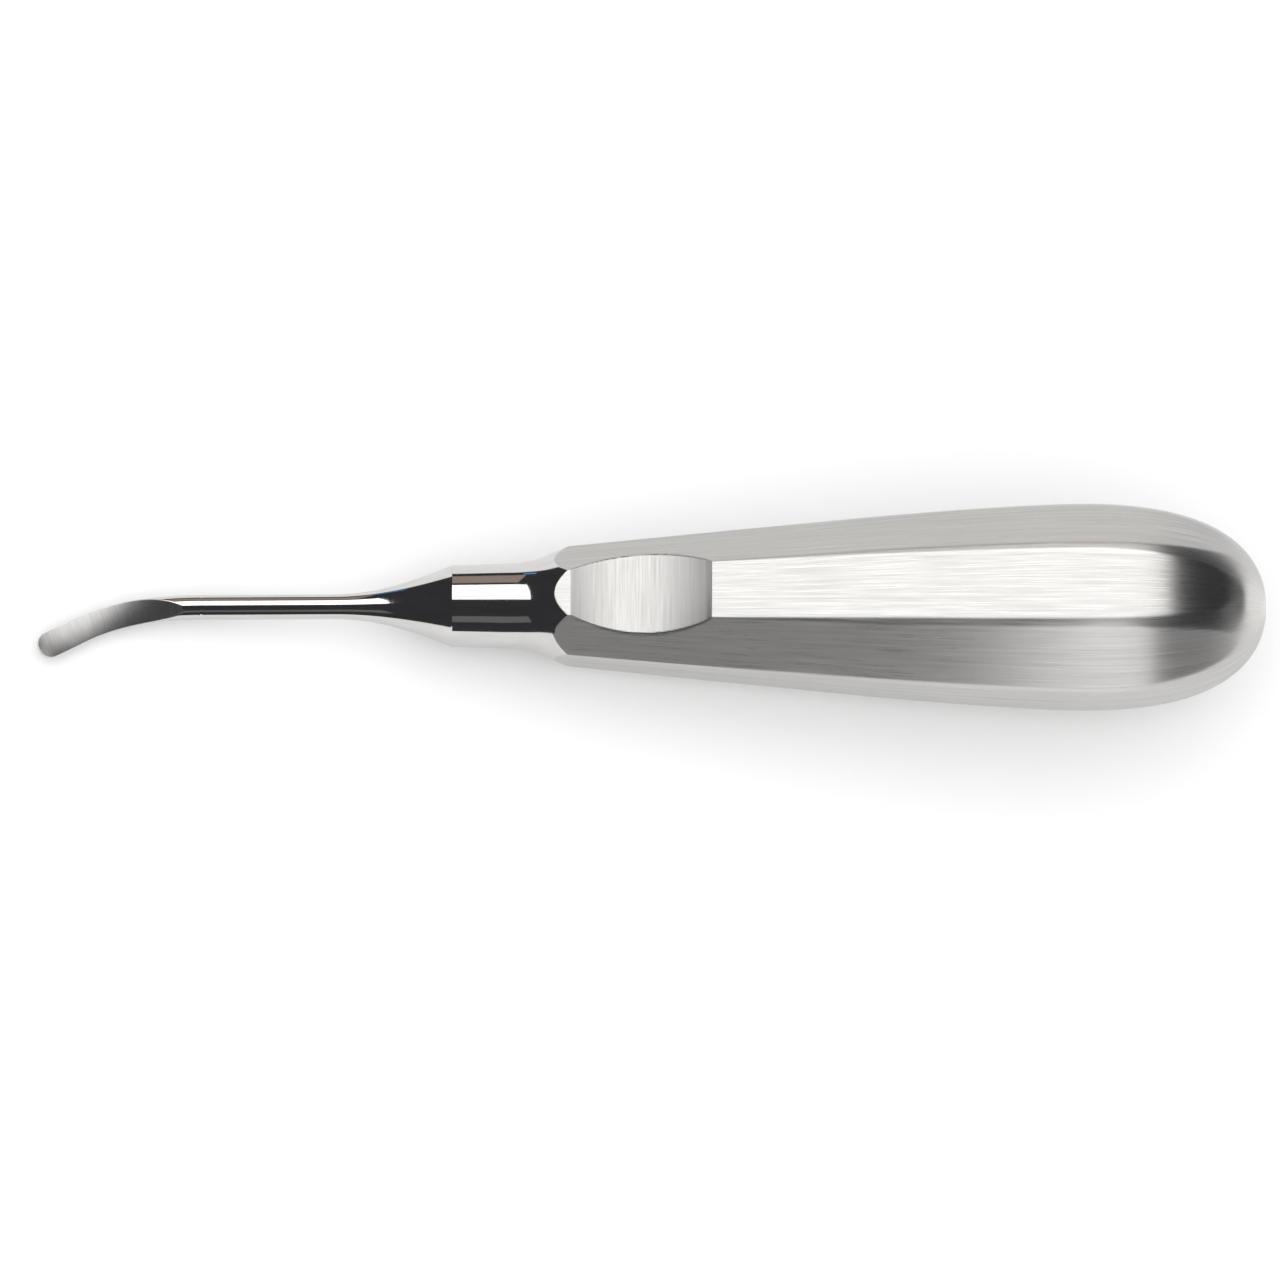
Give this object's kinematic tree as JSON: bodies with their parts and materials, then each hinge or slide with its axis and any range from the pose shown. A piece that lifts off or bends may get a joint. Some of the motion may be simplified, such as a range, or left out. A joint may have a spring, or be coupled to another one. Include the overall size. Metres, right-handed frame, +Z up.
{
  "type": "dental elevator",
  "caption": "Dental elevator with a side-curved, ground, round-tipped blade, slim shank, turned neck and a hollow eight-sided steel handle with a scooped thumb rest.",
  "frame": {"origin": "bottom centre of the instrument as it lies on the underside facet of its handle", "axes": "+X from the blade towards the butt, +Z up through the thumb rest, +Y to the left of a hand that points the blade forward; the blade bends towards -Y"},
  "size_m": [0.1494, 0.0238, 0.0249],
  "materials": {
    "polished_steel": "mirror-polished stainless steel, blade face satin ground",
    "brushed_steel": "stainless steel brushed along the handle, thumb rest brushed across",
    "weld_steel": "fused steel ground flush and brushed with the handle",
    "turned_steel": "plain turned steel",
    "braze_filler": "matt silver brazing filler"
  },
  "bodies": {
    "root": {"working_end": "polished_steel", "neck_ferrule": "polished_steel", "handle_shell_thumb_side": "brushed_steel", "handle_shell_underside": "brushed_steel", "handle_seam_weld": "weld_steel", "tang_bush": "turned_steel", "cross_pin": "turned_steel", "braze_ring": "braze_filler"}
  },
  "joints": []
}
